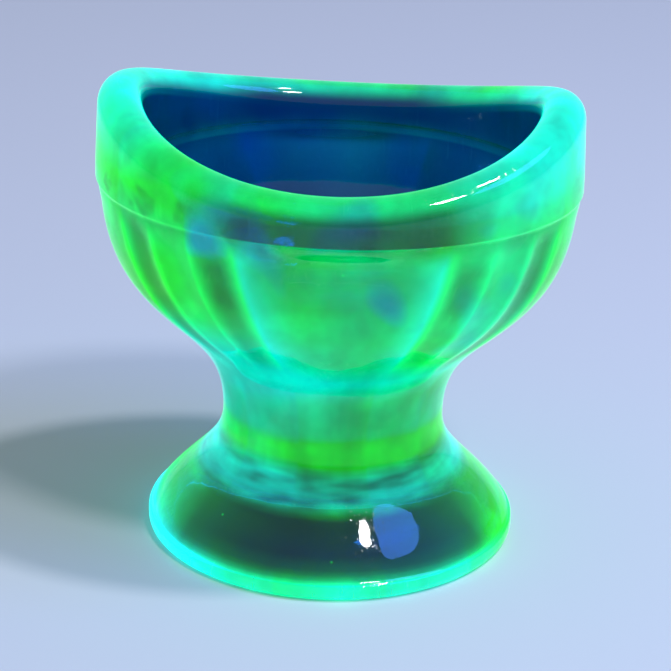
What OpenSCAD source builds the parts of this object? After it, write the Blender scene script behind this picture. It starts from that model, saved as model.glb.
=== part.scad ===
// Eye bath of pressed glass: an oval panelled bowl with a saddle-shaped rim,
// on a round neck and a hollow bell foot. Millimetres, +Z up.
// The origin is the centre of the circle that the foot stands on.
// The bowl's long way runs along X, and its front faces -Y.

/* [Bowl] */
// Length of the bowl where it meets the collar band, side to side
bowl_length = 50.2; // [44:0.2:60]
// Width of the bowl where it meets the collar band, front to back
bowl_width = 39.2; // [34:0.2:46]
// Height of the panelled bowl, from the neck line to the collar band
bowl_height = 17.7; // [13:0.1:24]
// Glass under the deepest point of the bowl, above the neck line
floor_glass = 1.6; // [0.8:0.1:4]
// Thickness of the glass at the rim and the collar band
wall_glass = 4.6; // [3:0.1:6]

/* [Panels] */
// Angle round the oval from the middle of the front panel to its edge, at the collar band
front_panel_top = 27; // [22:1:34]
// The same angle at the neck line
front_panel_low = 18; // [14:1:24]
// Angle from the middle of the front panel to the end panel's near edge, at the collar band
end_panel_top = 64; // [56:1:70]
// The same angle at the neck line
end_panel_low = 50; // [40:1:60]
// Flutes at each corner, between the front or back panel and the end panel
corner_flutes = 3; // [2:1:5]
// How flat the front and back panels are, from 0 for plain oval to 1 for flat
front_panel_flat = 0.75; // [0:0.05:1]
// How deep the flutes are: 1 for flat, more for scooped
flute_flat = 3; // [0:0.1:4]
// How flat the two end panels are
end_panel_flat = 0.1; // [0:0.05:0.4]
// Height of the scooped shoulder at the top of each panel
panel_scoop = 2.6; // [1:0.1:4]
// Height over which the panels fade into the round neck
panel_fade = 5; // [2:0.5:7]

/* [Collar and rim] */
// Height of the plain collar band
band_height = 2.1; // [1:0.1:5]
// How far the collar band stands proud of the bowl
band_step = 0.25; // [0.05:0.05:1]
// Height of the straight wall under the lip at the front and back
rim_stand = 0.2; // [0.1:0.1:4]
// How much higher the rim stands at the ends than at the front and back
rim_dip = 5.64; // [2:0.02:9]
// How far the rim leans inward at its highest points
rim_lean = 0.3; // [0:0.05:1]
// Roundness of the rim's two high ends, 0.1 for peaked to 1 for soft
rim_peak_round = 0.4; // [0.1:0.05:1]

/* [Neck] */
// Diameter of the waist, the neck's narrowest place
waist_d = 23.4; // [18:0.2:28]
// Height of the neck, from the top of the foot to the neck line
neck_height = 10.5; // [7:0.1:16]
// Height of the waist above the top of the foot
waist_rise = 2.2; // [1:0.1:5]

/* [Foot] */
// Diameter of the foot ring
foot_d = 39.2; // [34:0.2:46]
// Height of the foot ring
foot_ring_height = 1.8; // [1.2:0.1:3]
// Width of the foot ring at the base
foot_ring_width = 2; // [1.6:0.1:3]
// Radius of the foot ring's outer lower edge
foot_ring_round = 0.9; // [0.3:0.1:1.2]
// How far the foot ring stands proud of the bell above it
foot_edge_step = 0.25; // [0.05:0.05:0.8]
// Height of the bell-shaped foot above its ring
foot_height = 9.2; // [7:0.1:14]
// Glass between the top of the hollow under the foot and the neck
foot_crown_glass = 1.5; // [1:0.1:3]

/* [Hidden] */
$fn = 96;

// Heights of the joints between the zones, from the base up
z_ring = foot_ring_height;
z_foot = z_ring + foot_height;
z_waist = z_foot + waist_rise;
z_neck = z_foot + neck_height;
z_band = z_neck + bowl_height;
z_rim = z_band + band_height;

// Half sizes of the round foot and waist
foot_r = foot_d / 2;
waist_r = waist_d / 2;
bell_r = foot_r - foot_edge_step;
hollow_r = foot_r - foot_ring_width;
hollow_top = z_foot - foot_crown_glass;

// Lip and cavity
lip_r = wall_glass / 2;
cavity_low = z_neck + floor_glass;
rim_low = z_rim + rim_stand + lip_r;
rim_high = rim_low + rim_dip;

// Handle lengths of the two outline curves, as shares of the height that each spans
bell_start_rise = 0.36;
bell_start_in = 0.33;
bell_waist_handle = 0.42;
bowl_waist_handle = 0.51;
bowl_band_handle = 0.653;

// Handle lengths of the hollow under the foot, as shares of its radius and height
hollow_edge_in = 0.075;
hollow_edge_rise = 0.5;
hollow_crown = 0.57;

// Facets of half a front panel, of a flute and of half an end panel, and rows of facets up the walls
front_facets = 5;
flute_facets = 4;
end_facets = 5;
wall_rows = 12;
scoop_rows = 4;
neck_rows = 10;
cavity_rows = 12;
lip_rows = 8;
curve_steps = 16;

// Cubic curve through four control values
function curve(p, t) =
    p[0] * pow(1 - t, 3) + 3 * p[1] * pow(1 - t, 2) * t + 3 * p[2] * (1 - t) * pow(t, 2) + p[3] * pow(t, 3);

// Place along a rising curve where it reaches a height
function curve_place(p, height, low = 0, high = 1, halvings = 30) =
    let (mid = (low + high) / 2)
    halvings == 0 ? mid :
    curve(p, mid) < height ? curve_place(p, height, mid, high, halvings - 1)
                           : curve_place(p, height, low, mid, halvings - 1);

function clamp01(u) = min(1, max(0, u));
function ease(u) = let (c = clamp01(u)) c * c * (3 - 2 * c);

// Outline of the bell foot, from its ring to the waist
bell_span = z_waist - z_ring;
bell_z = [z_ring, z_ring + bell_start_rise * bell_span, z_waist - bell_waist_handle * bell_span, z_waist];
bell_radii = [bell_r, bell_r - bell_start_in * (bell_r - waist_r), waist_r, waist_r];
function bell_radius(z) = curve(bell_radii, curve_place(bell_z, z));

// Outline of the bowl, from the waist to the collar band: 0 at the waist, 1 at the band
bowl_span = z_band - z_waist;
bowl_z = [z_waist, z_waist + bowl_waist_handle * bowl_span, z_band - bowl_band_handle * bowl_span, z_band];
function swell(z) = ease(curve_place(bowl_z, z));
function half_length(z) = z < z_waist ? bell_radius(z) : waist_r + (bowl_length / 2 - waist_r) * swell(z);
function half_width(z) = z < z_waist ? bell_radius(z) : waist_r + (bowl_width / 2 - waist_r) * swell(z);

// Outline of the hollow under the foot
hollow_z = [0, hollow_edge_rise * hollow_top, hollow_top, hollow_top];
hollow_radii = [hollow_r, hollow_r * (1 - hollow_edge_in), hollow_r * hollow_crown, 0];
hollow_split = curve_place(hollow_z, z_ring);
function hollow_point(t) = [curve(hollow_radii, t), curve(hollow_z, t)];

// Angles round the oval, with a point on every panel edge: 0 is the front, 90 the right end
function facets_of(p) = p == 0 ? front_facets : p > corner_flutes ? end_facets : flute_facets;
function quarter(edges) =
    let (stops = concat(0, edges, 90))
    [for (p = [0 : len(edges)]) for (i = [0 : facets_of(p) - 1])
        stops[p] + (stops[p + 1] - stops[p]) * i / facets_of(p)];
function half_turn(q) = concat(q, [90], [for (i = [len(q) - 1 : -1 : 1]) 180 - q[i]]);
function full_turn(q) = let (h = half_turn(q)) concat(h, [for (t = h) t + 180]);

// Edges of the front panel, the flutes and the end panel at a height
function panel_share(z) = clamp01((z - z_neck) / bowl_height);
function panel_edges(z) =
    let (
        front = front_panel_low + (front_panel_top - front_panel_low) * panel_share(z),
        end = end_panel_low + (end_panel_top - end_panel_low) * panel_share(z)
    )
    [for (i = [0 : corner_flutes]) front + (end - front) * i / corner_flutes];
function angles(z) = full_turn(quarter(panel_edges(z)));

function oval(a, b, t) = [a * sin(t), -b * cos(t)];
function to_first_quarter(t) = let (u = t % 180) u > 90 ? 180 - u : u;

// Point of a panelled section: each panel is drawn in from the oval towards the chord between its edges
function panel_of(q, edges) =
    let (
        front = edges[0],
        end = edges[corner_flutes],
        flute = (end - front) / corner_flutes,
        near = front + flute * floor((q - front) / flute)
    )
    q < front ? [-front, front, front_panel_flat] :
    q < end ? [near, near + flute, flute_flat] :
    [end, 180 - end, end_panel_flat];
function panelled_point(a, b, t, edges, depth) =
    let (
        q = to_first_quarter(t),
        p = panel_of(q, edges),
        on_oval = oval(a, b, q),
        share = (q - p[0]) / (p[1] - p[0]),
        on_chord = oval(a, b, p[0]) * (1 - share) + oval(a, b, p[1]) * share,
        drawn = on_oval + (on_chord - on_oval) * p[2] * depth
    )
    [drawn[0] * (t > 180 ? -1 : 1), drawn[1] * (t > 90 && t < 270 ? -1 : 1)];

// Depth of the panels by height: none at the neck line and the band, full between
function panel_depth(z) = ease((z_band - z) / panel_scoop) * ease((z - z_neck) / panel_fade);

function body_ring(z) =
    [for (t = angles(z)) concat(
        panelled_point(half_length(z), half_width(z), t, panel_edges(z), panel_depth(z)), z)];
function plain_ring(a, b, z) = [for (t = angles(z_band)) concat(oval(a, b, t), z)];

// Straight-walled mouth of the cavity, and its rounded bottom
cavity_length = bowl_length / 2 + band_step - wall_glass;
cavity_width = bowl_width / 2 + band_step - wall_glass;
cavity_depth = z_band - cavity_low;
function cavity_ring(turn) =
    plain_ring(cavity_length * cos(turn), cavity_width * cos(turn), z_band - cavity_depth * sin(turn));

// Saddle of the rim: high at the two ends, low at the front and back
function saddle(t) =
    (sqrt(pow(cos(t), 2) + pow(rim_peak_round, 2)) - rim_peak_round)
    / (sqrt(1 + pow(rim_peak_round, 2)) - rim_peak_round);
function crest(t) = rim_high - rim_dip * saddle(t);

// Point of the rim's wall at an offset from its middle line, with the lean of its height
function rim_point(t, offset, z) =
    let (
        lean = rim_lean * clamp01((z - z_rim) / (rim_high - z_rim)),
        inset = lip_r - band_step + lean - offset
    )
    concat(oval(bowl_length / 2 - inset, bowl_width / 2 - inset, t), z);
function rim_wall(offset, share) =
    [for (t = angles(z_band)) rim_point(t, offset, z_rim + (crest(t) - lip_r - z_rim) * share)];
function lip_ring(turn) =
    [for (t = angles(z_band)) rim_point(t, lip_r * cos(turn), crest(t) - lip_r + lip_r * sin(turn))];

// Closed skin over a stack of rings: the ends are joined to each other, or each is closed to a middle point
module skin(rings, looped = false) {
    n = len(rings[0]);
    last = len(rings) - 1;
    first_mid = n * (last + 1);
    mids = looped ? [] : [for (r = [rings[0], rings[last]]) [0, 0, r[0][2]]];
    strips = [for (i = [0 : looped ? last : last - 1]) for (j = [0 : n - 1])
        let (
            up = (i + 1) % (last + 1),
            next = (j + 1) % n
        )
        each [[i * n + j, up * n + j, up * n + next], [i * n + j, up * n + next, i * n + next]]];
    caps = looped ? [] : [for (j = [0 : n - 1])
        let (next = (j + 1) % n)
        each [[first_mid, j, next], [first_mid + 1, last * n + next, last * n + j]]];
    polyhedron(points = concat([for (r = rings) each r], mids), faces = concat(strips, caps));
}

// Points on part of a circle in the foot's section
function arc(mid, r, from, to) =
    [for (i = [0 : curve_steps / 2]) let (t = from + (to - from) * i * 2 / curve_steps)
        mid + r * [cos(t), sin(t)]];

// Round ring that the foot stands on, flat underneath and rounded at its edge
module foot_ring() {
    color("springgreen")
    rotate_extrude()
    polygon(concat(
        arc([foot_r - foot_ring_round, foot_ring_round], foot_ring_round, -90, 0),
        arc([bell_r, z_ring - foot_edge_step], foot_edge_step, 0, 90),
        [for (i = [0 : curve_steps / 4]) hollow_point(hollow_split * (1 - i * 4 / curve_steps))]));
}

// Bell of the foot, hollow underneath and closed above
module bell_foot() {
    color("mediumseagreen")
    rotate_extrude()
    polygon(concat(
        [for (i = [0 : curve_steps]) let (z = z_ring + foot_height * i / curve_steps) [bell_radius(z), z]],
        [[0, z_foot]],
        [for (i = [0 : curve_steps]) hollow_point(1 - (1 - hollow_split) * i / curve_steps)]));
}

// Solid neck, round at the waist and turning oval towards the bowl
module neck() {
    color("limegreen")
    skin([for (i = [0 : neck_rows]) body_ring(z_foot + neck_height * i / neck_rows)]);
}

// Bowl with its panels outside and a plain oval cavity inside
module panelled_bowl() {
    panel_top = z_band - panel_scoop;
    color("mediumspringgreen")
    skin(concat(
        [for (i = [0 : wall_rows - 1]) body_ring(z_neck + (panel_top - z_neck) * i / wall_rows)],
        [for (i = [0 : scoop_rows]) body_ring(panel_top + panel_scoop * i / scoop_rows)],
        [for (i = [0 : cavity_rows - 1]) cavity_ring(90 * i / cavity_rows)]));
}

// Plain collar round the top of the bowl
module collar_band() {
    outside = band_step;
    inside = band_step - wall_glass;
    color("seagreen")
    skin([for (s = [[outside, z_band], [outside, z_rim], [inside, z_rim], [inside, z_band]])
        plain_ring(bowl_length / 2 + s[0], bowl_width / 2 + s[0], s[1])], looped = true);
}

// Rim shaped to the eye socket, with a full round lip
module eye_rim() {
    color("aquamarine")
    skin(concat(
        [rim_wall(lip_r, 0), rim_wall(lip_r, 0.5)],
        [for (i = [0 : lip_rows]) lip_ring(180 * i / lip_rows)],
        [rim_wall(-lip_r, 0.5), rim_wall(-lip_r, 0)]), looped = true);
}

foot_ring();
bell_foot();
neck();
panelled_bowl();
collar_band();
eye_rim();
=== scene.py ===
import math

import bmesh
import bpy
from mathutils import Matrix, Vector


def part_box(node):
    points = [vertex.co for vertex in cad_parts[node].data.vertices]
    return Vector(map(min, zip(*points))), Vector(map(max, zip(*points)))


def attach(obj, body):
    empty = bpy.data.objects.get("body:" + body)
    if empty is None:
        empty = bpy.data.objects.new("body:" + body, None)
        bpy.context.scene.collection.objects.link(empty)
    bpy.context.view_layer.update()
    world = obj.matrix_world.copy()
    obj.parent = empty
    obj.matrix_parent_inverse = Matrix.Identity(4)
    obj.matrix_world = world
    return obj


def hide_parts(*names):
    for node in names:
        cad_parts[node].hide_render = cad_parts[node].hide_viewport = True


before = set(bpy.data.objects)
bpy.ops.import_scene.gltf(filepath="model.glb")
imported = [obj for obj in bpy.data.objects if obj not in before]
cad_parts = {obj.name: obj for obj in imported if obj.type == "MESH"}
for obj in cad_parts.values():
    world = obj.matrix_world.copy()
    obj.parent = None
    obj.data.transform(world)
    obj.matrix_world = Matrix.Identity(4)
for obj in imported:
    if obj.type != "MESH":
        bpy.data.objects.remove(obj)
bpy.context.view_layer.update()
mm = 0.001


# One node with its settings and links: a link is a socket or a plain value
def addNode(tree, kind, links=None, **settings):
    node = tree.nodes.new(kind)
    for name, value in settings.items():
        setattr(node, name, value)
    for name, source in (links or {}).items():
        if isinstance(source, bpy.types.NodeSocket):
            tree.links.new(source, node.inputs[name])
        else:
            node.inputs[name].default_value = source
    return node


# sRGB hex colour to linear
def linear(hexColour):
    parts = [int(hexColour[i:i + 2], 16) / 255 for i in (1, 3, 5)]
    lit = [p / 12.92 if p <= 0.04045 else ((p + 0.055) / 1.055) ** 2.4 for p in parts]
    return (*lit, 1.0)


def between(low, high, share):
    return low + (high - low) * share


def clamped(u):
    return min(1.0, max(0.0, u))


def ease(u):
    c = clamped(u)
    return c * c * (3 - 2 * c)


# Smooth cubic curve from four control values
def curveAt(p, t):
    s = 1 - t
    return p[0] * s ** 3 + 3 * p[1] * s * s * t + 3 * p[2] * s * t * t + p[3] * t ** 3


# Place along a rising curve where it reaches a height, by halving
def curvePlace(p, height):
    low, high = 0.0, 1.0
    for _ in range(40):
        mid = (low + high) / 2
        low, high = (mid, high) if curveAt(p, mid) < height else (low, mid)
    return (low + high) / 2


# Heights where the zones of the glass meet, and half sizes, all from the frame
top = {node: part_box(node)[1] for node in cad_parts}
zRing, zFoot, zNeck = (top[node].z for node in ("foot_ring", "bell_foot", "neck"))
zBand, zRim, zPeak = (top[node].z for node in ("panelled_bowl", "collar_band", "eye_rim"))
footRadius, bellRadius = top["foot_ring"].x, top["bell_foot"].x
bowlReach, bandReach = top["panelled_bowl"].xy, top["collar_band"].xy
print("frame:", len(top), "zones of glass, base to rim", round(zPeak / mm, 2), "mm")

# Sizes of the glass that the frame's boxes don't give
glassShape = {
    "waistRadius": 11.7 * mm,
    "waistRise": 2.2 * mm,      # above the top of the bell
    "wall": 4.6 * mm,           # at the rim and collar
    "floorGlass": 1.6 * mm,     # under the bowl's deepest point
    "crownGlass": 1.5 * mm,     # over the hollow of the foot
    "ringWidth": 2.0 * mm,
    "ringRound": 0.9 * mm,
    "edgeRound": 0.25 * mm,     # fire-polished edges
    "panelScoop": 2.6 * mm,     # height over which a panel sinks in below the collar
    "panelFade": 5.0 * mm,      # and over which it runs out above the neck
    "bellHandles": (0.36, 0.33, 0.42),
    "bowlHandles": (0.51, 0.653),
    "hollowHandles": (0.075, 0.5, 0.57),
}

# Stations along each stretch of the section
sectionSteps = {"hollow": 32, "edge": 6, "ring": 12, "bell": 28, "bowl": 64, "wall": 12, "lip": 32, "cavity": 48}

# Painted glow of the neck, the same all round, in stops of height in millimetres and value
neckPaintedGlow = ((9.5, 0.36), (10.6, 0.36), (12.2, 0.6), (13.4, 0.6), (14.6, 0.45), (17, 0.42), (20.5, 0.5))

# How strongly each zone has painted glow, in place of ultraviolet light, and how blue-green it is, in stops of the
# same kind
paintedGlowShape = {
    "frontGlow": (
        (0, 0.9), (1.8, 1.0), (2.2, 0.4), (2.8, 0.08), (4.2, 0.015), (7, 0.03), (7.9, 0.34), (8.6, 0.28),
        *neckPaintedGlow, (22, 0.66), (25, 0.48), (30, 0.54), (36, 0.52), (37.5, 0.5), (39.1, 0.5), (39.4, 0.12)),
    "endGlow": (
        (0, 0.9), (1.8, 1.0), (2.8, 0.68), (4.2, 0.34), (6, 0.18), (7.9, 0.34),
        *neckPaintedGlow, (22, 0.6), (27, 0.46), (33, 0.6), (37.5, 0.72), (50, 0.8)),
    "window": ((30.5, 0), (32, 1), (35.5, 1), (37, 0)),     # painted shade: less painted glow where the panels can be seen through
    "tint": (                                               # hue of the painted glow, from pure green at 0 to blue-green painted sheen at 1
        (1.8, 0.6), (3, 0.1), (7, 0.1), (8.5, 1.1), (10.2, 1.0), (12, 0.1), (13.8, 0.1), (15, 0.6), (19, 0.75),
        (22, 1.3), (24.5, 0.5), (28, 0.2), (31, 0.15), (36, 0.15), (39, 0.2), (41, 0.28)),
    "leftTint": (                                           # painted blue-green sheen, more on the left than on the right
        (2, 0.5), (3.5, 0.1), (12, 0), (18, 0.15), (21, 0.5), (25, 0.45), (29, 0), (39, 0), (42, -0.1)),
    "skewTint": ((40, 0), (43, -0.6)),                      # and more painted sheen at the front right and the back left
    "edgeOn": (                                             # more painted glow where the wall is seen edge on
        (0, 0.3), (1.8, 0.5), (3, 0.65), (9, 0.75), (12, 0.45), (18, 0.2), (30, 0.15), (38, 0.2)),
    "mottle": ((36, 0), (39, 1), (43, 1), (45, 0)),         # shares of three patches of painted light: painted shade, painted glow swirls and painted blue reflections
    "swirl": ((6, 0), (7.5, 1), (10.5, 1), (12, 0)),
    "cool": ((24, 0), (27, 1), (46, 1), (48, 0.4)),
    "footEdge": 56,             # degrees from the front where the painted glow of the ends begins
    "bowlEdge": 58,
    "collarEdge": 23,
    "hollow": 0.01,
    "rimWall": 0.14,
    "rimWallEnds": 0.75,
    "lip": 0.66,
    "lipRise": (1 / 32, 8 / 32),        # shares of the lip's round over which the painted glow of its front begins
    "lipFade": (20 / 32, 28 / 32),      # and over which the painted glow ends towards the mouth
    "lipFadeEnds": (23 / 32, 31 / 32),
    "peakTint": (0.5, 1.3),     # more blue-green painted sheen at the rim's two high ends, at the lip's outer and inner edge
    "peakGlow": 0.4,            # and more painted glow
    "cavity": 0.015,
    "cavityPaintedSheen": 0.9,
    "cavityPaintedHighlight": 0.05,         # faint painted highlight line where the rim's inner wall meets the bowl of the cavity
    "cavityPaintedHighlightTint": 1.0,
    "cavityLineRise": 0.15 * mm,
    "cavityBottom": 0.5,
    "cavityRise": (0.5, 0.9),   # shares of the way down over which the bottom's painted glow grows
}

# What the sweep of the section takes as its named inputs
sweepInputs = {
    "Front Steps": 16,
    "Flute Steps": 8,
    "End Steps": 24,
    "Flutes": 3,                # at each corner
    "Front Edge Top": math.radians(27),
    "Front Edge Low": math.radians(18),
    "End Edge Top": math.radians(64),
    "End Edge Low": math.radians(50),
    "Front Flatness": 0.75,
    "Flute Flatness": 3.0,
    "End Flatness": 0.1,
    "Panel Turn": math.radians(3.5),
    "Edge Softness": math.radians(1.5),
    "Front Painted Shade": 0.25,       # painted shade: how much of the painted glow each panel loses where it can be seen through
    "Flute Painted Shade": 0.36,
    "End Painted Shade": 0.1,
    "Painted Shade Edge": math.radians(4),
    "Painted Reflection Edge": math.radians(42),      # the two ends stay free of painted blue reflections
    "Ridge Width": math.radians(14),
    "Ridge Fall": 3.0,          # how much sooner a ridge's painted glow ends on the flutes and end panels
    "Ridge Painted Sheen": 0.8,          # blue-green painted sheen of the front panels' ridges
    "Flute Glow": 0.45,         # painted glow of every second flute, against a ridge
    # blue-green painted sheen of the flutes
    "Flute Painted Sheen": 0.12,
    "Glow Spread": math.radians(16),
    # cylinder on which the painted glow streaks are laid
    "Streak Radius": 14.0 * mm,
    "Streak Squeeze": 0.3,
    "Rim Dip": 5.64 * mm,
    "Peak Round": 0.4,
    "Rim Lean": 0.3 * mm,
    "Rim Start": zRim,
    "Rim Top": zPeak,
    "Weld Distance": 0.001 * mm,
    "Wave Height": 0.05 * mm,
    "Wave Length": 7.0 * mm,
    "Wave Start": 1.5 * mm,     # the standing ring stays flat
    "Seed": 11.0,
}

# What each station of the section holds beside its reach along X and Y and its height at the ends
zoneShares = ("frontGlow", "endGlow", "window", "tint", "leftTint", "skewTint", "edgeOn", "mottle", "swirl",
              "cool")
stationShares = ("dipShare", "panelDepth", "panelShare", "glowEdge", "peakTint", "peakGlow", *zoneShares)


# Value between stops, each a height in millimetres and a value
def betweenStops(stops, z):
    height = z / mm
    for (lowZ, lowValue), (highZ, highValue) in zip(stops, stops[1:]):
        if height <= highZ:
            return between(lowValue, highValue, max(0.0, height - lowZ) / (highZ - lowZ))
    return stops[-1][1]


# Shares of the way along a stretch of the section
def along(stretch, first=1):
    count = sectionSteps[stretch]
    return [i / count for i in range(first, count + 1)]


# Eased rise from 0 to 1 over a range
def ramp(place, start, end):
    return ease((place - start) / (end - start))


# Stations of the section, from the middle of the foot's hollow round to the bottom of the bowl
def sectionStations(g):
    stations = []

    # A station has the painted glow and painted sheen of its height, apart from values of its own
    def put(reachX, reachY, z, **own):
        edge = "footEdge" if z < zFoot else "bowlEdge" if z < zBand else "collarEdge"
        station = dict.fromkeys(stationShares, 0.0)
        station.update((name, betweenStops(paintedGlowShape[name], z)) for name in zoneShares)
        station.update(panelShare=clamped((z - zNeck) / (zBand - zNeck)), glowEdge=math.radians(paintedGlowShape[edge]))
        station.update(own, reach=(reachX, reachY, z))
        stations.append(station)

    # Inside the hollow and the mouth the painted glow is the same all round
    def inside(paintedGlow):
        return {"frontGlow": paintedGlow, "endGlow": paintedGlow, "edgeOn": 0.0, "window": 0.0}

    zWaist = zFoot + g["waistRise"]
    hollowTop = zFoot - g["crownGlass"]
    hollowRadius = footRadius - g["ringWidth"]
    edgeIn, edgeRise, crown = g["hollowHandles"]
    hollowZ = (0.0, edgeRise * hollowTop, hollowTop, hollowTop)
    hollowR = (hollowRadius, hollowRadius * (1 - edgeIn), hollowRadius * crown, 0.0)
    edge = g["edgeRound"]
    hollowEnd = curvePlace(hollowZ, edge)
    for s in along("hollow", 0):                          # hollow, from its crown to the base
        t = between(1.0, hollowEnd, s)
        r = curveAt(hollowR, t)
        put(r, r, curveAt(hollowZ, t), **inside(paintedGlowShape["hollow"]))
    innerEdge = stations[-1]["reach"][0]
    for s in along("edge"):                               # inner edge of the standing ring
        a = math.radians(90 * s)
        r = innerEdge + edge * (1 - math.cos(a))
        put(r, r, edge * (1 - math.sin(a)))
    for s in along("ring", 0):                            # outer edge of the standing ring
        a = math.radians(90 * s - 90)
        r = footRadius - g["ringRound"] * (1 - math.cos(a))
        put(r, r, g["ringRound"] * (1 + math.sin(a)))
    step = footRadius - bellRadius
    for s in along("edge", 0):                            # small step up to the bell
        a = math.radians(90 * s)
        r = bellRadius + step * math.cos(a)
        put(r, r, zRing - step + step * math.sin(a))

    rise, into, waistHandle = g["bellHandles"]
    span = zWaist - zRing
    waist = g["waistRadius"]
    bellZ = (zRing, zRing + rise * span, zWaist - waistHandle * span, zWaist)
    bellR = (bellRadius, between(bellRadius, waist, into), waist, waist)
    for t in along("bell"):                               # bell of the foot up to the waist
        r = curveAt(bellR, t)
        put(r, r, curveAt(bellZ, t))

    low, high = g["bowlHandles"]
    span = zBand - zWaist
    bowlZ = (zWaist, zWaist + low * span, zBand - high * span, zBand)
    for s in along("bowl"):                               # neck and panelled bowl up to the collar
        z = between(zWaist, zBand, s)
        swell = ease(curvePlace(bowlZ, z))
        depth = ease((zBand - z) / g["panelScoop"]) * ease((z - zNeck) / g["panelFade"])
        put(between(waist, bowlReach.x, swell), between(waist, bowlReach.y, swell), z, panelDepth=depth)

    step = bandReach.x - bowlReach.x
    for s in along("edge"):                               # lower edge of the collar
        a = math.radians(90 * s)
        out = step * math.sin(a)
        put(bowlReach.x + out, bowlReach.y + out, zBand + step * (1 - math.cos(a)))
    put(bandReach.x, bandReach.y, zRim)

    lip = g["wall"] / 2
    lipStart = zPeak - lip
    # Painted glow and blue-green painted sheen of the rim's walls, its lip and the cavity
    wallGlow, wallEnds = paintedGlowShape["rimWall"], paintedGlowShape["rimWallEnds"]
    lipGlow, cavityGlow = paintedGlowShape["lip"], paintedGlowShape["cavity"]
    outerTint, innerTint = paintedGlowShape["peakTint"]
    peakGlow = paintedGlowShape["peakGlow"]
    for s in along("wall"):                               # outer wall of the rim
        put(bandReach.x, bandReach.y, between(zRim, lipStart, s), dipShare=s, frontGlow=wallGlow,
            endGlow=between(wallEnds, lipGlow, s), peakTint=outerTint * s, peakGlow=peakGlow * s)
    for s in along("lip"):                                # full round lip
        a = math.radians(180 * s)
        inset = lip * (1 - math.cos(a))
        shine = between(lipGlow, cavityGlow, ramp(s, *paintedGlowShape["lipFade"]))
        endShine = between(lipGlow, cavityGlow, ramp(s, *paintedGlowShape["lipFadeEnds"]))
        put(bandReach.x - inset, bandReach.y - inset, lipStart + lip * math.sin(a), dipShare=1.0,
            frontGlow=between(wallGlow, shine, ramp(s, *paintedGlowShape["lipRise"])), endGlow=endShine,
            peakTint=between(outerTint, innerTint, s), peakGlow=peakGlow * endShine / lipGlow)

    mouth = bandReach - Vector((g["wall"], g["wall"]))
    for s in along("wall"):                               # inner wall of the rim
        put(mouth.x, mouth.y, between(lipStart, zRim, s), dipShare=1 - s, **inside(cavityGlow))
    put(mouth.x, mouth.y, zBand + paintedGlowShape["cavityLineRise"], tint=paintedGlowShape["cavityPaintedHighlightTint"],
        **inside(paintedGlowShape["cavityPaintedHighlight"]))
    cavityDepth = zBand - zNeck - g["floorGlass"]
    for s in along("cavity", 0):                          # bowl of the cavity down to its middle
        a = math.radians(90 * s)
        shine = between(cavityGlow, paintedGlowShape["cavityBottom"], ramp(s, *paintedGlowShape["cavityRise"]))
        put(mouth.x * math.cos(a), mouth.y * math.cos(a), zBand - cavityDepth * math.sin(a), panelShare=1.0,
            tint=paintedGlowShape["cavityPaintedSheen"], **inside(shine))
    for pole in (stations[0], stations[-1]):
        pole["reach"] = (0.0, 0.0, pole["reach"][2])
    print("section:", len(stations), "stations")
    return stations


# Chain of points that holds the section: reach along X and Y and height, with its shares as attributes
def sectionMesh(stations):
    mesh = bpy.data.meshes.new("eyeBathSection")
    mesh.from_pydata([s["reach"] for s in stations], [(i, i + 1) for i in range(len(stations) - 1)], [])
    for name in stationShares:
        values = mesh.attributes.new(name, "FLOAT", "POINT")
        values.data.foreach_set("value", [s[name] for s in stations])
    return mesh


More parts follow.
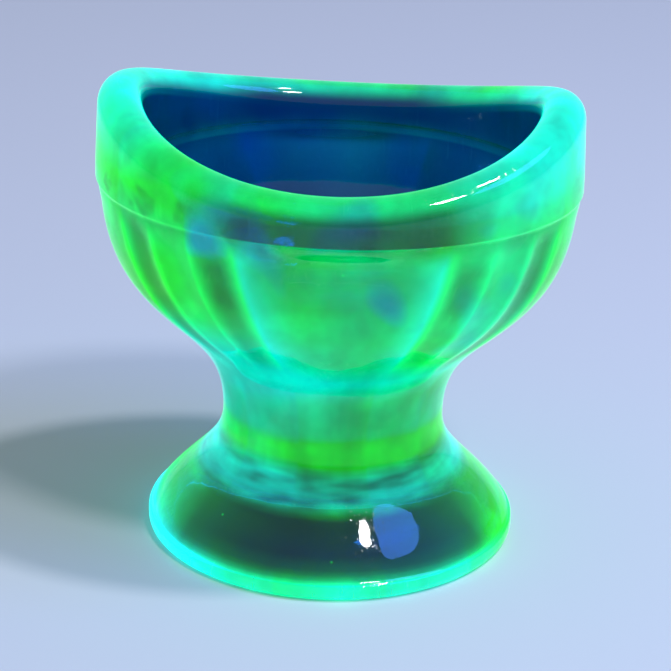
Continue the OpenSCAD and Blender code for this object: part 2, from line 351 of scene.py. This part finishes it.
# Sweep of the section round the oval, with panels, saddle rim and the slight waves of pressed glass
def sweepTree():
    tree = bpy.data.node_groups.new("eyeBathSweep", "GeometryNodeTree")
    tree.interface.new_socket("Section", in_out="INPUT", socket_type="NodeSocketGeometry")
    for name, value in sweepInputs.items():
        kind = "NodeSocketInt" if isinstance(value, int) else "NodeSocketFloat"
        tree.interface.new_socket(name, in_out="INPUT", socket_type=kind).default_value = value
    tree.interface.new_socket("Glass", in_out="INPUT", socket_type="NodeSocketMaterial")
    tree.interface.new_socket("Eye Bath", in_out="OUTPUT", socket_type="NodeSocketGeometry")
    given = addNode(tree, "NodeGroupInput").outputs
    section = given["Section"]
    at = {name: given[name] for name in sweepInputs}
    at["index"] = addNode(tree, "GeometryNodeInputIndex").outputs[0]

    # Each row is a name, a sum and what it works on; the rows read down the page
    gridSums = [
        ("fluteSteps", "MULTIPLY", "Flutes", "Flute Steps"),
        ("toEnd", "ADD", "Front Steps", "fluteSteps"),
        ("quarter", "ADD", "toEnd", "End Steps"),
        ("columns", "MULTIPLY_ADD", "quarter", 4.0, 1.0),       # four quarters, and one more to close them
        ("rowFound", "DIVIDE", "index", "columns"),
        ("row", "FLOOR", "rowFound"),
        ("step", "FLOORED_MODULO", "index", "columns"),
        ("waveScale", "DIVIDE", 1.0, "Wave Length"),
    ]
    for name, operation, *parts in gridSums:
        links = {i: at.get(part, part) for i, part in enumerate(parts)}
        at[name] = addNode(tree, "ShaderNodeMath", links, operation=operation).outputs[0]
    size = addNode(tree, "GeometryNodeAttributeDomainSize", {0: section})
    grid = addNode(tree, "GeometryNodeMeshGrid", {
        "Vertices X": size.outputs["Point Count"], "Vertices Y": at["columns"]})

    # The section's own values at this row, and the noise of the pressing's waves
    place = addNode(tree, "GeometryNodeInputPosition").outputs[0]
    reach = addNode(tree, "GeometryNodeSampleIndex", {
        "Geometry": section, "Value": place, "Index": at["row"]}, data_type="FLOAT_VECTOR").outputs[0]
    at["reachX"], at["reachY"], at["endHeight"] = addNode(tree, "ShaderNodeSeparateXYZ", {0: reach}).outputs
    for name in stationShares:
        named = addNode(tree, "GeometryNodeInputNamedAttribute", {"Name": name}, data_type="FLOAT").outputs[0]
        at[name] = addNode(tree, "GeometryNodeSampleIndex", {
            "Geometry": section, "Value": named, "Index": at["row"]}, data_type="FLOAT").outputs[0]
    at["rise"] = addNode(tree, "ShaderNodeSeparateXYZ", {0: place}).outputs["Z"]
    at["noise"] = addNode(tree, "ShaderNodeTexNoise", {
        "Vector": place, "W": at["Seed"], "Scale": at["waveScale"], "Detail": 1.0},
        noise_dimensions="4D").outputs[0]

    glassSums = [
        # Angle from the front or back, with a point on each panel edge
        ("quarterStep", "PINGPONG", "step", "quarter"),
        ("turnShare", "DIVIDE", "step", "quarter"),
        ("turn", "MULTIPLY", "turnShare", math.pi / 2),
        ("frontSpread", "SUBTRACT", "Front Edge Top", "Front Edge Low"),
        ("frontEdge", "MULTIPLY_ADD", "frontSpread", "panelShare", "Front Edge Low"),
        ("endSpread", "SUBTRACT", "End Edge Top", "End Edge Low"),
        ("endEdge", "MULTIPLY_ADD", "endSpread", "panelShare", "End Edge Low"),
        ("pastFront", "SUBTRACT", "quarterStep", "Front Steps"),
        ("pastFlutes", "SUBTRACT", "quarterStep", "toEnd"),
        ("frontShare", "DIVIDE_CLAMPED", "quarterStep", "Front Steps"),
        ("flutesShare", "DIVIDE_CLAMPED", "pastFront", "fluteSteps"),
        ("endShare", "DIVIDE_CLAMPED", "pastFlutes", "End Steps"),
        ("flutesSpan", "SUBTRACT", "endEdge", "frontEdge"),
        ("endSpan", "SUBTRACT", math.pi / 2, "endEdge"),
        ("angleFront", "MULTIPLY", "frontEdge", "frontShare"),
        ("angleFlutes", "MULTIPLY_ADD", "flutesSpan", "flutesShare", "angleFront"),
        ("angle", "MULTIPLY_ADD", "endSpan", "endShare", "angleFlutes"),
        # Which panel this is, by half a step, and the angles of its two edges
        ("inFront", "LESS_THAN", "pastFront", -0.5),
        ("beforeEnd", "LESS_THAN", "pastFlutes", -0.5),
        ("inFlute", "SUBTRACT", "beforeEnd", "inFront"),
        ("inEnd", "SUBTRACT", 1.0, "beforeEnd"),
        ("fluteSpan", "DIVIDE", "flutesSpan", "Flutes"),
        ("fluteFound", "DIVIDE", "pastFront", "Flute Steps"),
        ("fluteNumber", "FLOOR", "fluteFound"),
        ("fluteLow", "MULTIPLY_ADD", "fluteNumber", "fluteSpan", "frontEdge"),
        ("fluteHigh", "ADD", "fluteLow", "fluteSpan"),
        ("endHigh", "SUBTRACT", math.pi, "endEdge"),
        ("lowFront", "MULTIPLY", "inFront", "frontEdge"),
        ("lowFlute", "MULTIPLY", "inFlute", "fluteLow"),
        ("lowBoth", "SUBTRACT", "lowFlute", "lowFront"),
        ("lowEdge", "MULTIPLY_ADD", "inEnd", "endEdge", "lowBoth"),
        ("highBoth", "MULTIPLY_ADD", "inFlute", "fluteHigh", "lowFront"),
        ("highEdge", "MULTIPLY_ADD", "inEnd", "endHigh", "highBoth"),
        ("flatFront", "MULTIPLY", "inFront", "Front Flatness"),
        ("flatFlute", "MULTIPLY_ADD", "inFlute", "Flute Flatness", "flatFront"),
        ("flat", "MULTIPLY_ADD", "inEnd", "End Flatness", "flatFlute"),
        # How far across the panel, and how near its edge
        ("fromLow", "SUBTRACT", "angle", "lowEdge"),
        ("panelSpan", "SUBTRACT", "highEdge", "lowEdge"),
        ("across", "DIVIDE", "fromLow", "panelSpan"),
        ("acrossBack", "SUBTRACT", 1.0, "across"),
        ("edgeNear", "MINIMUM", "across", "acrossBack"),
        ("edgeAngle", "MULTIPLY", "edgeNear", "panelSpan"),
        ("softened", "DIVIDE_CLAMPED", "edgeAngle", "Edge Softness"),
        ("drawnFlat", "MULTIPLY", "flat", "panelDepth"),
        ("drawn", "MULTIPLY", "drawnFlat", "softened"),
        # Point on the oval, drawn towards the chord between the panel's edges
        ("ovalX", "SINE", "angle"),
        ("ovalY", "COSINE", "angle"),
        ("lowX", "SINE", "lowEdge"),
        ("lowY", "COSINE", "lowEdge"),
        ("highX", "SINE", "highEdge"),
        ("highY", "COSINE", "highEdge"),
        ("chordSpanX", "SUBTRACT", "highX", "lowX"),
        ("chordSpanY", "SUBTRACT", "highY", "lowY"),
        ("chordX", "MULTIPLY_ADD", "chordSpanX", "across", "lowX"),
        ("chordY", "MULTIPLY_ADD", "chordSpanY", "across", "lowY"),
        ("pullX", "SUBTRACT", "chordX", "ovalX"),
        ("pullY", "SUBTRACT", "chordY", "ovalY"),
        ("unitX", "MULTIPLY_ADD", "pullX", "drawn", "ovalX"),
        ("unitY", "MULTIPLY_ADD", "pullY", "drawn", "ovalY"),
        # Out to the side that this step is on, then turned as the mould was on the bowl
        ("turnSine", "SINE", "turn"),
        ("turnCosine", "COSINE", "turn"),
        ("sideX", "SIGN", "turnSine"),
        ("sideY", "SIGN", "turnCosine"),
        ("backY", "MULTIPLY", "sideY", -1.0),
        ("turnedSine", "SINE", "Panel Turn"),
        ("turnedCosine", "COSINE", "Panel Turn"),
        ("signedX", "MULTIPLY", "unitX", "sideX"),
        ("signedY", "MULTIPLY", "unitY", "backY"),
        ("crossX", "MULTIPLY", "signedY", "turnedSine"),
        ("crossY", "MULTIPLY", "signedX", "turnedSine"),
        ("alongX", "MULTIPLY", "signedX", "turnedCosine"),
        ("turnedX", "SUBTRACT", "alongX", "crossX"),
        ("turnedY", "MULTIPLY_ADD", "signedY", "turnedCosine", "crossY"),
        ("plainX", "MULTIPLY", "ovalX", "sideX"),
        ("plainY", "MULTIPLY", "ovalY", "backY"),
        ("plainCross", "MULTIPLY", "plainX", "turnedSine"),
        ("plainTurned", "MULTIPLY_ADD", "plainY", "turnedCosine", "plainCross"),
        # Saddle of the rim: nothing at the ends, the whole dip at front and back
        ("roundSquared", "MULTIPLY", "Peak Round", "Peak Round"),
        ("frontness", "MULTIPLY_ADD", "plainTurned", "plainTurned", "roundSquared"),
        ("frontRoot", "SQRT", "frontness"),
        ("wholeSquared", "ADD", "roundSquared", 1.0),
        ("wholeRoot", "SQRT", "wholeSquared"),
        ("saddleNow", "SUBTRACT", "frontRoot", "Peak Round"),
        ("saddleWhole", "SUBTRACT", "wholeRoot", "Peak Round"),
        ("saddle", "DIVIDE", "saddleNow", "saddleWhole"),
        ("dip", "MULTIPLY", "Rim Dip", "dipShare"),
        ("drop", "MULTIPLY", "dip", "saddle"),
        ("height", "SUBTRACT", "endHeight", "drop"),
        ("aboveRim", "SUBTRACT", "height", "Rim Start"),
        ("rimSpan", "SUBTRACT", "Rim Top", "Rim Start"),
        ("leanShare", "DIVIDE_CLAMPED", "aboveRim", "rimSpan"),
        ("lean", "MULTIPLY", "leanShare", "Rim Lean"),
        ("leanX", "SUBTRACT", "reachX", "lean"),
        ("leanY", "SUBTRACT", "reachY", "lean"),
        ("placeX", "MULTIPLY", "leanX", "turnedX"),
        ("placeY", "MULTIPLY", "leanY", "turnedY"),
        # Place on a plain cylinder, so that the painted glow streaks run down with the panels
        ("streakX", "MULTIPLY", "turnSine", "Streak Radius"),
        ("streakY", "MULTIPLY", "turnCosine", "Streak Radius"),
        ("streakZ", "MULTIPLY", "height", "Streak Squeeze"),
        # Painted glow along the ridges, most into the front and back panels, and on every second flute
        ("ridgeLess", "SUBTRACT", 1.0, "Ridge Fall"),
        ("ridgeFall", "MULTIPLY_ADD", "inFront", "ridgeLess", "Ridge Fall"),
        ("ridgeAngle", "MULTIPLY", "edgeAngle", "ridgeFall"),
        ("paintedRidgeGlowShare", "DIVIDE_CLAMPED", "ridgeAngle", "Ridge Width"),
        ("ridgeNear", "SUBTRACT", 1.0, "paintedRidgeGlowShare"),
        ("ridgeSoft", "MULTIPLY", "ridgeNear", "ridgeNear"),
        ("fluteOdd", "PINGPONG", "fluteNumber", 1.0),
        ("fluteBright", "MULTIPLY", "inFlute", "fluteOdd"),
        ("fluteFill", "MULTIPLY", "fluteBright", "Flute Glow"),
        ("ridgeFill", "MAXIMUM", "ridgeSoft", "fluteFill"),
        ("paintedRidgeGlow", "MULTIPLY", "ridgeFill", "panelDepth"),
        # Painted shade: the other flutes lose painted glow where they are see-through, and those next to the end
        # panels over their whole height
        ("fluteEven", "SUBTRACT", 1.0, "fluteOdd"),
        ("fluteClear", "MULTIPLY", "fluteEven", "Flute Painted Shade"),
        ("windowFront", "MULTIPLY", "inFront", "Front Painted Shade"),
        ("windowFlute", "MULTIPLY_ADD", "inFlute", "fluteClear", "windowFront"),
        ("windowPanel", "MULTIPLY_ADD", "inEnd", "End Painted Shade", "windowFlute"),
        ("beforeLast", "SUBTRACT", "Flutes", 1.5),
        ("flutePast", "GREATER_THAN", "fluteNumber", "beforeLast"),
        ("fluteLast", "MULTIPLY", "inFlute", "flutePast"),
        ("windowMore", "SUBTRACT", "panelDepth", "window"),
        ("windowRange", "MULTIPLY_ADD", "fluteLast", "windowMore", "window"),
        ("windowHeight", "MULTIPLY", "windowPanel", "windowRange"),
        ("windowNear", "DIVIDE_CLAMPED", "edgeAngle", "Painted Shade Edge"),
        ("windowLoss", "MULTIPLY", "windowHeight", "windowNear"),
        ("windowKept", "SUBTRACT", 1.0, "windowLoss"),
        # Blue-green painted sheen of the front ridges, the flutes, the rim's high ends and the two sides
        ("ridgeFront", "MULTIPLY", "inFront", "paintedRidgeGlow"),
        ("tint", "MULTIPLY_ADD", "ridgeFront", "Ridge Painted Sheen", "tint"),
        ("tint", "MULTIPLY_ADD", "inFlute", "Flute Painted Sheen", "tint"),
        ("endRise", "SUBTRACT", 1.0, "saddle"),
        ("tint", "MULTIPLY_ADD", "endRise", "peakTint", "tint"),
        ("leftMore", "MULTIPLY", "plainX", "leftTint"),
        ("tint", "SUBTRACT", "tint", "leftMore"),
        ("skew", "MULTIPLY", "plainX", "plainY"),
        ("tint", "MULTIPLY_ADD", "skew", "skewTint", "tint"),
        # Dim patches of painted shade fade out towards the right, and painted blue reflections towards the ends
        ("leftness", "MULTIPLY_ADD", "plainX", -0.5, 0.5),
        ("mottle", "MULTIPLY", "mottle", "leftness"),
        ("coolPast", "SUBTRACT", "angle", "Painted Reflection Edge"),
        ("coolLoss", "DIVIDE_CLAMPED", "coolPast", "Glow Spread"),
        ("coolKept", "SUBTRACT", 1.0, "coolLoss"),
        ("cool", "MULTIPLY", "cool", "coolKept"),
        # Painted glow from the front to the ends, less the painted shade of the windows, with more at the rim's
        # high ends
        ("endReach", "SUBTRACT", "angle", "glowEdge"),
        ("endness", "DIVIDE_CLAMPED", "endReach", "Glow Spread"),
        ("glowSpread", "SUBTRACT", "endGlow", "frontGlow"),
        ("glowZone", "MULTIPLY_ADD", "glowSpread", "endness", "frontGlow"),
        ("glowPanel", "MULTIPLY", "glowZone", "windowKept"),
        ("paintedGlow", "MULTIPLY_ADD", "endRise", "peakGlow", "glowPanel"),
        # Slow waves of the pressing
        ("centred", "SUBTRACT", "noise", 0.5),
        ("clear", "DIVIDE_CLAMPED", "rise", "Wave Start"),
        ("risen", "MULTIPLY", "centred", "clear"),
        ("wave", "MULTIPLY", "risen", "Wave Height"),
    ]
    for name, operation, *parts in glassSums:
        links = {i: at.get(part, part) for i, part in enumerate(parts)}
        at[name] = addNode(tree, "ShaderNodeMath", links, operation=operation.removesuffix("_CLAMPED"),
                           use_clamp=operation.endswith("_CLAMPED")).outputs[0]

    swept = addNode(tree, "ShaderNodeCombineXYZ", {0: at["placeX"], 1: at["placeY"], 2: at["height"]}).outputs[0]
    form = addNode(tree, "GeometryNodeSetPosition", {
        "Geometry": grid.outputs["Mesh"], "Position": swept}).outputs[0]
    for name in ("paintedGlow", "tint", "paintedRidgeGlow", "edgeOn", "mottle", "swirl", "cool"):     # painted glow, sheen, shade and reflections that the glass material reads
        form = addNode(tree, "GeometryNodeStoreNamedAttribute", {
            "Geometry": form, "Name": name, "Value": at[name]}, data_type="FLOAT", domain="POINT").outputs[0]
    streak = addNode(tree, "ShaderNodeCombineXYZ", {
        0: at["streakX"], 1: at["streakY"], 2: at["streakZ"]}).outputs[0]
    form = addNode(tree, "GeometryNodeStoreNamedAttribute", {
        "Geometry": form, "Name": "streak", "Value": streak}, data_type="FLOAT_VECTOR", domain="POINT").outputs[0]
    form = addNode(tree, "GeometryNodeMergeByDistance", {
        "Geometry": form, "Distance": at["Weld Distance"]}).outputs[0]
    normal = addNode(tree, "GeometryNodeInputNormal").outputs[0]
    offset = addNode(tree, "ShaderNodeVectorMath", {0: normal, "Scale": at["wave"]}, operation="SCALE").outputs[0]
    form = addNode(tree, "GeometryNodeSetPosition", {"Geometry": form, "Offset": offset}).outputs[0]
    form = addNode(tree, "GeometryNodeSetShadeSmooth", {"Geometry": form, "Shade Smooth": True}).outputs[0]
    form = addNode(tree, "GeometryNodeRealizeInstances", {0: form}).outputs[0]
    form = addNode(tree, "GeometryNodeSetMaterial", {"Geometry": form, "Material": given["Glass"]}).outputs[0]
    addNode(tree, "NodeGroupOutput", {0: form})
    return tree


# Uranium glass, pressed in a mould and fire-polished: clear and glossy, deep blue-green to look through,
# with painted glow in place of ultraviolet light, most at its edges and where it is thick, and painted
# reflections, highlights and shade
glassLook = {
    # Colours of the painted glow: green, blue-green, and the blue of painted reflections
    "glowGreen": "#00FF2E",
    "glowCyan": "#00FFE4",
    "paintedReflectionBlue": "#00B4FF",
    # painted glow along the ridges
    "ridgeGlow": 0.45,
    "edgePower": 1.7,           # how soon the painted glow grows as a wall turns edge on
    # Patches of painted light, and one of roughness: size, seed if it has one, detail, roughness, the band of the
    # noise that shows, and what it becomes
    "drift": (16.0 * mm, 3.0, 1, 0.5, (0.25, 0.75), (-0.45, 0.45)),     # hue of the painted glow, from pure green to blue-green
    "cool": (9.0 * mm, 5.1, 1, 0.5, (0.56, 0.68), (0.0, 0.7)),          # painted blue reflections on the bowl and collar
    "cloud": (5.0 * mm, None, 3, 0.6, (0.25, 0.75), (0.7, 1.3)),        # brighter and dimmer painted glow
    "streak": (5.0 * mm, 8.3, 3, 0.5, (0.25, 0.75), (0.65, 1.35)),      # painted glow streaks that run down with the panels
    "mottle": (3.4 * mm, None, 2, 0.6, (0.5, 0.7), (0.0, -0.6)),        # painted shade: small dim patches round the collar
    "swirl": (9.0 * mm, None, 2, 0.5, (0.3, 0.7), (-0.8, 0.8)),         # painted glow and shade in streaks round the foot, above its hollow
    "haze": (2.5 * mm, None, 4, 0.6, (0.45, 0.75), (0.015, 0.065)),     # roughness of an uneven polish
    # offset of the mirrored painted blue reflections
    "coolShift": (1.2 * mm, 0.0, 1.5 * mm),
    "swirlSqueeze": 5.625,      # length of a painted glow swirl against its width
    "seedSpacing": 4.0 * mm,    # tiny bubbles, shown as painted glints
    "seedSize": 0.022,          # of the spacing
    "seedShare": 0.4,
    "seedPaintedGlint": 0.35,
    "absorbColour": "#00C8E6",
    "absorbDensity": 2000.0,    # per metre
    "ior": 1.52,
    "scratchLength": 5.0 * mm,
    "scratchWidth": 0.25 * mm,
    "scratchTurns": ((0.5, 0.9, 0.2), (-0.7, 0.4, 1.1)),
    "scratchBand": (0.72, 0.8),
    "scratchRoughness": 0.2,
    "scratchDepth": 0.1,        # against the ripples
    "ringWear": 0.3,            # roughness of the standing ring, rubbed on tables
    "ringWearHeight": 0.9 * mm,
    "rippleSize": 2.4 * mm,     # small ripples of glass that met a cool mould
    "rippleHeight": 0.02 * mm,
}


def uraniumGlass(look):
    material = bpy.data.materials.new("uraniumGlassFirePolished")
    material.use_nodes = True
    tree = material.node_tree
    tree.nodes.clear()
    at = {}
    for name in ("paintedGlow", "tint", "paintedRidgeGlow", "edgeOn", "mottle", "swirl", "cool"):     # painted glow, sheen, shade and reflections that the sweep stored
        at[name + "Share"] = addNode(tree, "ShaderNodeAttribute", attribute_name=name).outputs["Fac"]
    place = addNode(tree, "ShaderNodeTexCoord").outputs["Object"]
    down = addNode(tree, "ShaderNodeAttribute", attribute_name="streak").outputs["Vector"]
    mirrored = addNode(tree, "ShaderNodeMapping", {
        "Vector": place, "Location": look["coolShift"], "Scale": (-1.0, 1.0, 1.0)}).outputs[0]
    flattened = addNode(tree, "ShaderNodeMapping", {
        "Vector": place, "Scale": (1.0, 1.0, look["swirlSqueeze"])}).outputs[0]
    for name, over in (("drift", place), ("cool", mirrored), ("cloud", place), ("streak", down),
                       ("mottle", place), ("swirl", flattened), ("haze", place)):
        size, seed, detail, rough, band, becomes = look[name]
        links = {"Vector": over, "Scale": 1 / size, "Detail": detail, "Roughness": rough}
        if seed:
            links["W"] = seed
        noise = addNode(tree, "ShaderNodeTexNoise", links, noise_dimensions="4D" if seed else "3D").outputs[0]
        at[name + "Noise"] = noise
        at[name] = addNode(tree, "ShaderNodeMapRange", {
            "Value": noise, "From Min": band[0], "From Max": band[1],
            "To Min": becomes[0], "To Max": becomes[1]}).outputs[0]
    # Painted edge glow, by how edge on the wall is seen
    at["facing"] = addNode(tree, "ShaderNodeLayerWeight", {"Blend": 0.5}).outputs["Facing"]
    # Tiny bubbles, drawn as painted glints of light
    seeds = addNode(tree, "ShaderNodeTexVoronoi", {"Vector": place, "Scale": 1 / look["seedSpacing"]}).outputs
    at["near"] = addNode(tree, "ShaderNodeMapRange", {
        "Value": seeds["Distance"], "From Min": look["seedSize"] * 2, "From Max": look["seedSize"]}).outputs[0]
    at["lot"] = addNode(tree, "ShaderNodeSeparateColor", {0: seeds["Color"]}).outputs[0]

    # Polish: fine scratches two ways, a rubbed standing ring and small ripples
    squeeze = look["scratchWidth"] / look["scratchLength"]
    scratchLow, scratchHigh = look["scratchBand"]
    for name, turn in zip(("scratchOne", "scratchTwo"), look["scratchTurns"]):
        laid = addNode(tree, "ShaderNodeMapping", {
            "Vector": place, "Rotation": turn, "Scale": (1.0, 1.0, squeeze)}).outputs[0]
        fine = addNode(tree, "ShaderNodeTexNoise", {
            "Vector": laid, "Scale": 1 / look["scratchWidth"], "Detail": 0.0}).outputs[0]
        at[name] = addNode(tree, "ShaderNodeMapRange", {
            "Value": fine, "From Min": scratchLow, "From Max": scratchHigh}).outputs[0]
    height = addNode(tree, "ShaderNodeSeparateXYZ", {0: place}).outputs["Z"]
    at["rubbed"] = addNode(tree, "ShaderNodeMapRange", {
        "Value": height, "From Min": look["ringWearHeight"], "From Max": 0.0,
        "To Max": look["ringWear"]}).outputs[0]
    at["ripple"] = addNode(tree, "ShaderNodeTexNoise", {
        "Vector": place, "Scale": 1 / look["rippleSize"], "Detail": 1.0}).outputs[0]

    # Painted glow: its hue, patches, streaks, painted shade, ridge and edge glow and painted glints of bubbles;
    # then the roughness and ripples of the polish
    lookSums = [
        ("tinted", "ADD_CLAMPED", "tintShare", "drift"),
        ("blue", "MULTIPLY", "cool", "coolShare"),
        ("uneven", "MULTIPLY", "cloud", "streak"),
        ("mottled", "MULTIPLY_ADD", "mottle", "mottleShare", 1.0),
        ("swirled", "MULTIPLY_ADD", "swirl", "swirlShare", "mottled"),
        ("broken", "MULTIPLY", "uneven", "swirled"),
        ("patchy", "MULTIPLY", "paintedGlowShare", "broken"),
        ("ridged", "MULTIPLY_ADD", "paintedRidgeGlowShare", look["ridgeGlow"], "patchy"),
        ("steep", "POWER", "facing", look["edgePower"]),
        ("grazing", "MULTIPLY_ADD", "steep", "edgeOnShare", "ridged"),
        ("chosen", "LESS_THAN", "lot", look["seedShare"]),
        ("seed", "MULTIPLY", "near", "chosen"),
        ("strength", "MULTIPLY_ADD", "seed", look["seedPaintedGlint"], "grazing"),
        ("scratch", "MAXIMUM", "scratchOne", "scratchTwo"),
        ("scored", "MULTIPLY_ADD", "scratch", look["scratchRoughness"], "haze"),
        ("worn", "MULTIPLY_ADD", "rubbed", "hazeNoise", "scored"),
        ("cut", "MULTIPLY_ADD", "scratch", -look["scratchDepth"], "ripple"),
    ]
    for name, operation, *parts in lookSums:
        links = {i: at.get(part, part) for i, part in enumerate(parts)}
        at[name] = addNode(tree, "ShaderNodeMath", links, operation=operation.removesuffix("_CLAMPED"),
                           use_clamp=operation.endswith("_CLAMPED")).outputs[0]

    # Hue of the painted glow, green to blue-green, with painted blue reflections over it
    colour = addNode(tree, "ShaderNodeMix", {
        0: at["tinted"], 6: linear(look["glowGreen"]), 7: linear(look["glowCyan"])}, data_type="RGBA").outputs[2]
    colour = addNode(tree, "ShaderNodeMix", {
        0: at["blue"], 6: colour, 7: linear(look["paintedReflectionBlue"])}, data_type="RGBA").outputs[2]
    rippled = addNode(tree, "ShaderNodeBump", {
        "Height": at["cut"], "Strength": 1.0, "Distance": look["rippleHeight"]}).outputs[0]
    # Clear glass, whose emission is the painted glow
    glass = addNode(tree, "ShaderNodeBsdfPrincipled", {
        "Base Color": (1.0, 1.0, 1.0, 1.0), "Roughness": at["worn"], "IOR": look["ior"], "Normal": rippled,
        "Transmission Weight": 1.0, "Emission Color": colour, "Emission Strength": at["strength"]})
    body = addNode(tree, "ShaderNodeVolumeAbsorption", {
        "Color": linear(look["absorbColour"]), "Density": look["absorbDensity"]})
    addNode(tree, "ShaderNodeOutputMaterial", {"Surface": glass.outputs[0], "Volume": body.outputs[0]})
    print("material:", material.name, len(tree.nodes), "nodes")
    return material


def buildEyeBath():
    glass = uraniumGlass(glassLook)
    piece = bpy.data.objects.new("eyeBathGlass", sectionMesh(sectionStations(glassShape)))
    bpy.context.scene.collection.objects.link(piece)
    tree = sweepTree()
    sweep = piece.modifiers.new("sweep", "NODES")
    sweep.node_group = tree
    sockets = {s.name: s.identifier for s in tree.interface.items_tree if s.in_out == "INPUT"}
    for name, value in sweepInputs.items():
        sweep[sockets[name]] = value
    sweep[sockets["Glass"]] = glass
    ready = piece.evaluated_get(bpy.context.evaluated_depsgraph_get())
    mesh = bpy.data.meshes.new_from_object(ready)
    piece.modifiers.remove(sweep)
    piece.data = mesh
    mesh.name = "eyeBathGlass"
    form = bmesh.new()
    form.from_mesh(mesh)
    bmesh.ops.recalc_face_normals(form, faces=form.faces)
    loose = [e for e in form.edges if not e.is_manifold]
    print("eye bath:", len(form.verts), "points,", len(form.faces), "faces,", len(loose), "open edges,",
          round(form.calc_volume() * 1e6, 2), "cm3")
    form.to_mesh(mesh)
    form.free()
    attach(piece, "root")
    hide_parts("foot_ring", "bell_foot", "neck", "panelled_bowl", "collar_band", "eye_rim")


# Way out from the middle, by degrees round from the front and degrees up
def outward(around, above):
    turn, rise = math.radians(around), math.radians(above)
    return Vector((math.sin(turn) * math.cos(rise), -math.cos(turn) * math.cos(rise), math.sin(rise)))


# Place and turn of what looks from one point to another
def lookFrom(place, point):
    return Matrix.Translation(place) @ (point - place).to_track_quat("-Z", "Y").to_matrix().to_4x4()


# Camera at the photograph's place: front of the bowl, a little to its right and above
viewpoint = {
    "distance": 340 * mm,
    "around": 3.0,              # degrees, as are the next two
    "above": 22.935,
    "roll": 1.669,
    "pivotHeight": 25 * mm,
    "aim": (0.066 * mm, 0.0035 * mm, 21.544 * mm),
    "focalPixels": 3218.6,
    "framePixels": 671.0,
    "sensorWidth": 36.0,        # millimetres, as the lens is
    "clipStart": 10 * mm,
}


def buildCamera(v):
    eye = Vector((0, 0, v["pivotHeight"])) + outward(v["around"], v["above"]) * v["distance"]
    lens = bpy.data.cameras.new("camera")
    lens.sensor_width = v["sensorWidth"]
    lens.lens = v["focalPixels"] / v["framePixels"] * v["sensorWidth"]
    lens.clip_start = v["clipStart"]
    camera = bpy.data.objects.new("camera", lens)
    camera.matrix_world = lookFrom(eye, Vector(v["aim"])) @ Matrix.Rotation(math.radians(v["roll"]), 4, "Z")
    bpy.context.scene.collection.objects.link(camera)
    bpy.context.scene.camera = camera
    print("camera: lens", round(lens.lens, 1), "mm")


# Plain pale floor that runs out of sight, and soft studio light from the right
studio = {
    "floorColour": "#C8CEDA",
    "floorRoughness": 0.9,
    "floorHalf": 3.0,
    "worldColour": "#E2E6EC",
    "worldStrength": 0.45,
    # Name, colour, degrees round from the front, degrees up, distance, width, height, watts
    "lamps": (
        ("keyLamp", "#FFFFFF", 80, 71, 0.45, 0.040, 0.040, 0.70),
        ("frontLamp", "#FFFFFF", 41, 58, 0.45, 0.070, 0.060, 0.60),
        ("sideSoftbox", "#4A88FF", 76, 52, 0.60, 0.36, 0.20, 1.6),
    ),
}


def buildStudio(s):
    scene = bpy.context.scene
    half = s["floorHalf"]
    corners = [(-half, -half, 0), (half, -half, 0), (half, half, 0), (-half, half, 0)]
    plane = bpy.data.meshes.new("floor")
    plane.from_pydata(corners, [], [(0, 1, 2, 3)])
    floor = bpy.data.objects.new("floor", plane)
    scene.collection.objects.link(floor)
    paper = bpy.data.materials.new("paleMattPaper")         # plain paper: one pale tone with no shine
    paper.use_nodes = True
    sheet = paper.node_tree.nodes["Principled BSDF"].inputs
    sheet["Base Color"].default_value = linear(s["floorColour"])
    sheet["Roughness"].default_value = s["floorRoughness"]
    plane.materials.append(paper)
    middle = Vector((0, 0, zNeck))
    for name, colour, around, above, distance, width, height, power in s["lamps"]:
        lamp = bpy.data.lights.new(name, "AREA")
        lamp.shape = "ELLIPSE"
        lamp.size, lamp.size_y = width, height
        lamp.energy = power
        lamp.color = linear(colour)[:3]
        stand = bpy.data.objects.new(name, lamp)
        stand.matrix_world = lookFrom(middle + outward(around, above) * distance, middle)
        scene.collection.objects.link(stand)
    world = bpy.data.worlds.new("studio")
    world.use_nodes = True
    sky = world.node_tree.nodes["Background"].inputs
    sky["Color"].default_value = linear(s["worldColour"])
    sky["Strength"].default_value = s["worldStrength"]
    scene.world = world
    scene.view_settings.view_transform = "Standard"
    print("studio: floor and", len(s["lamps"]), "lamps")


buildCamera(viewpoint)
buildEyeBath()
buildStudio(studio)
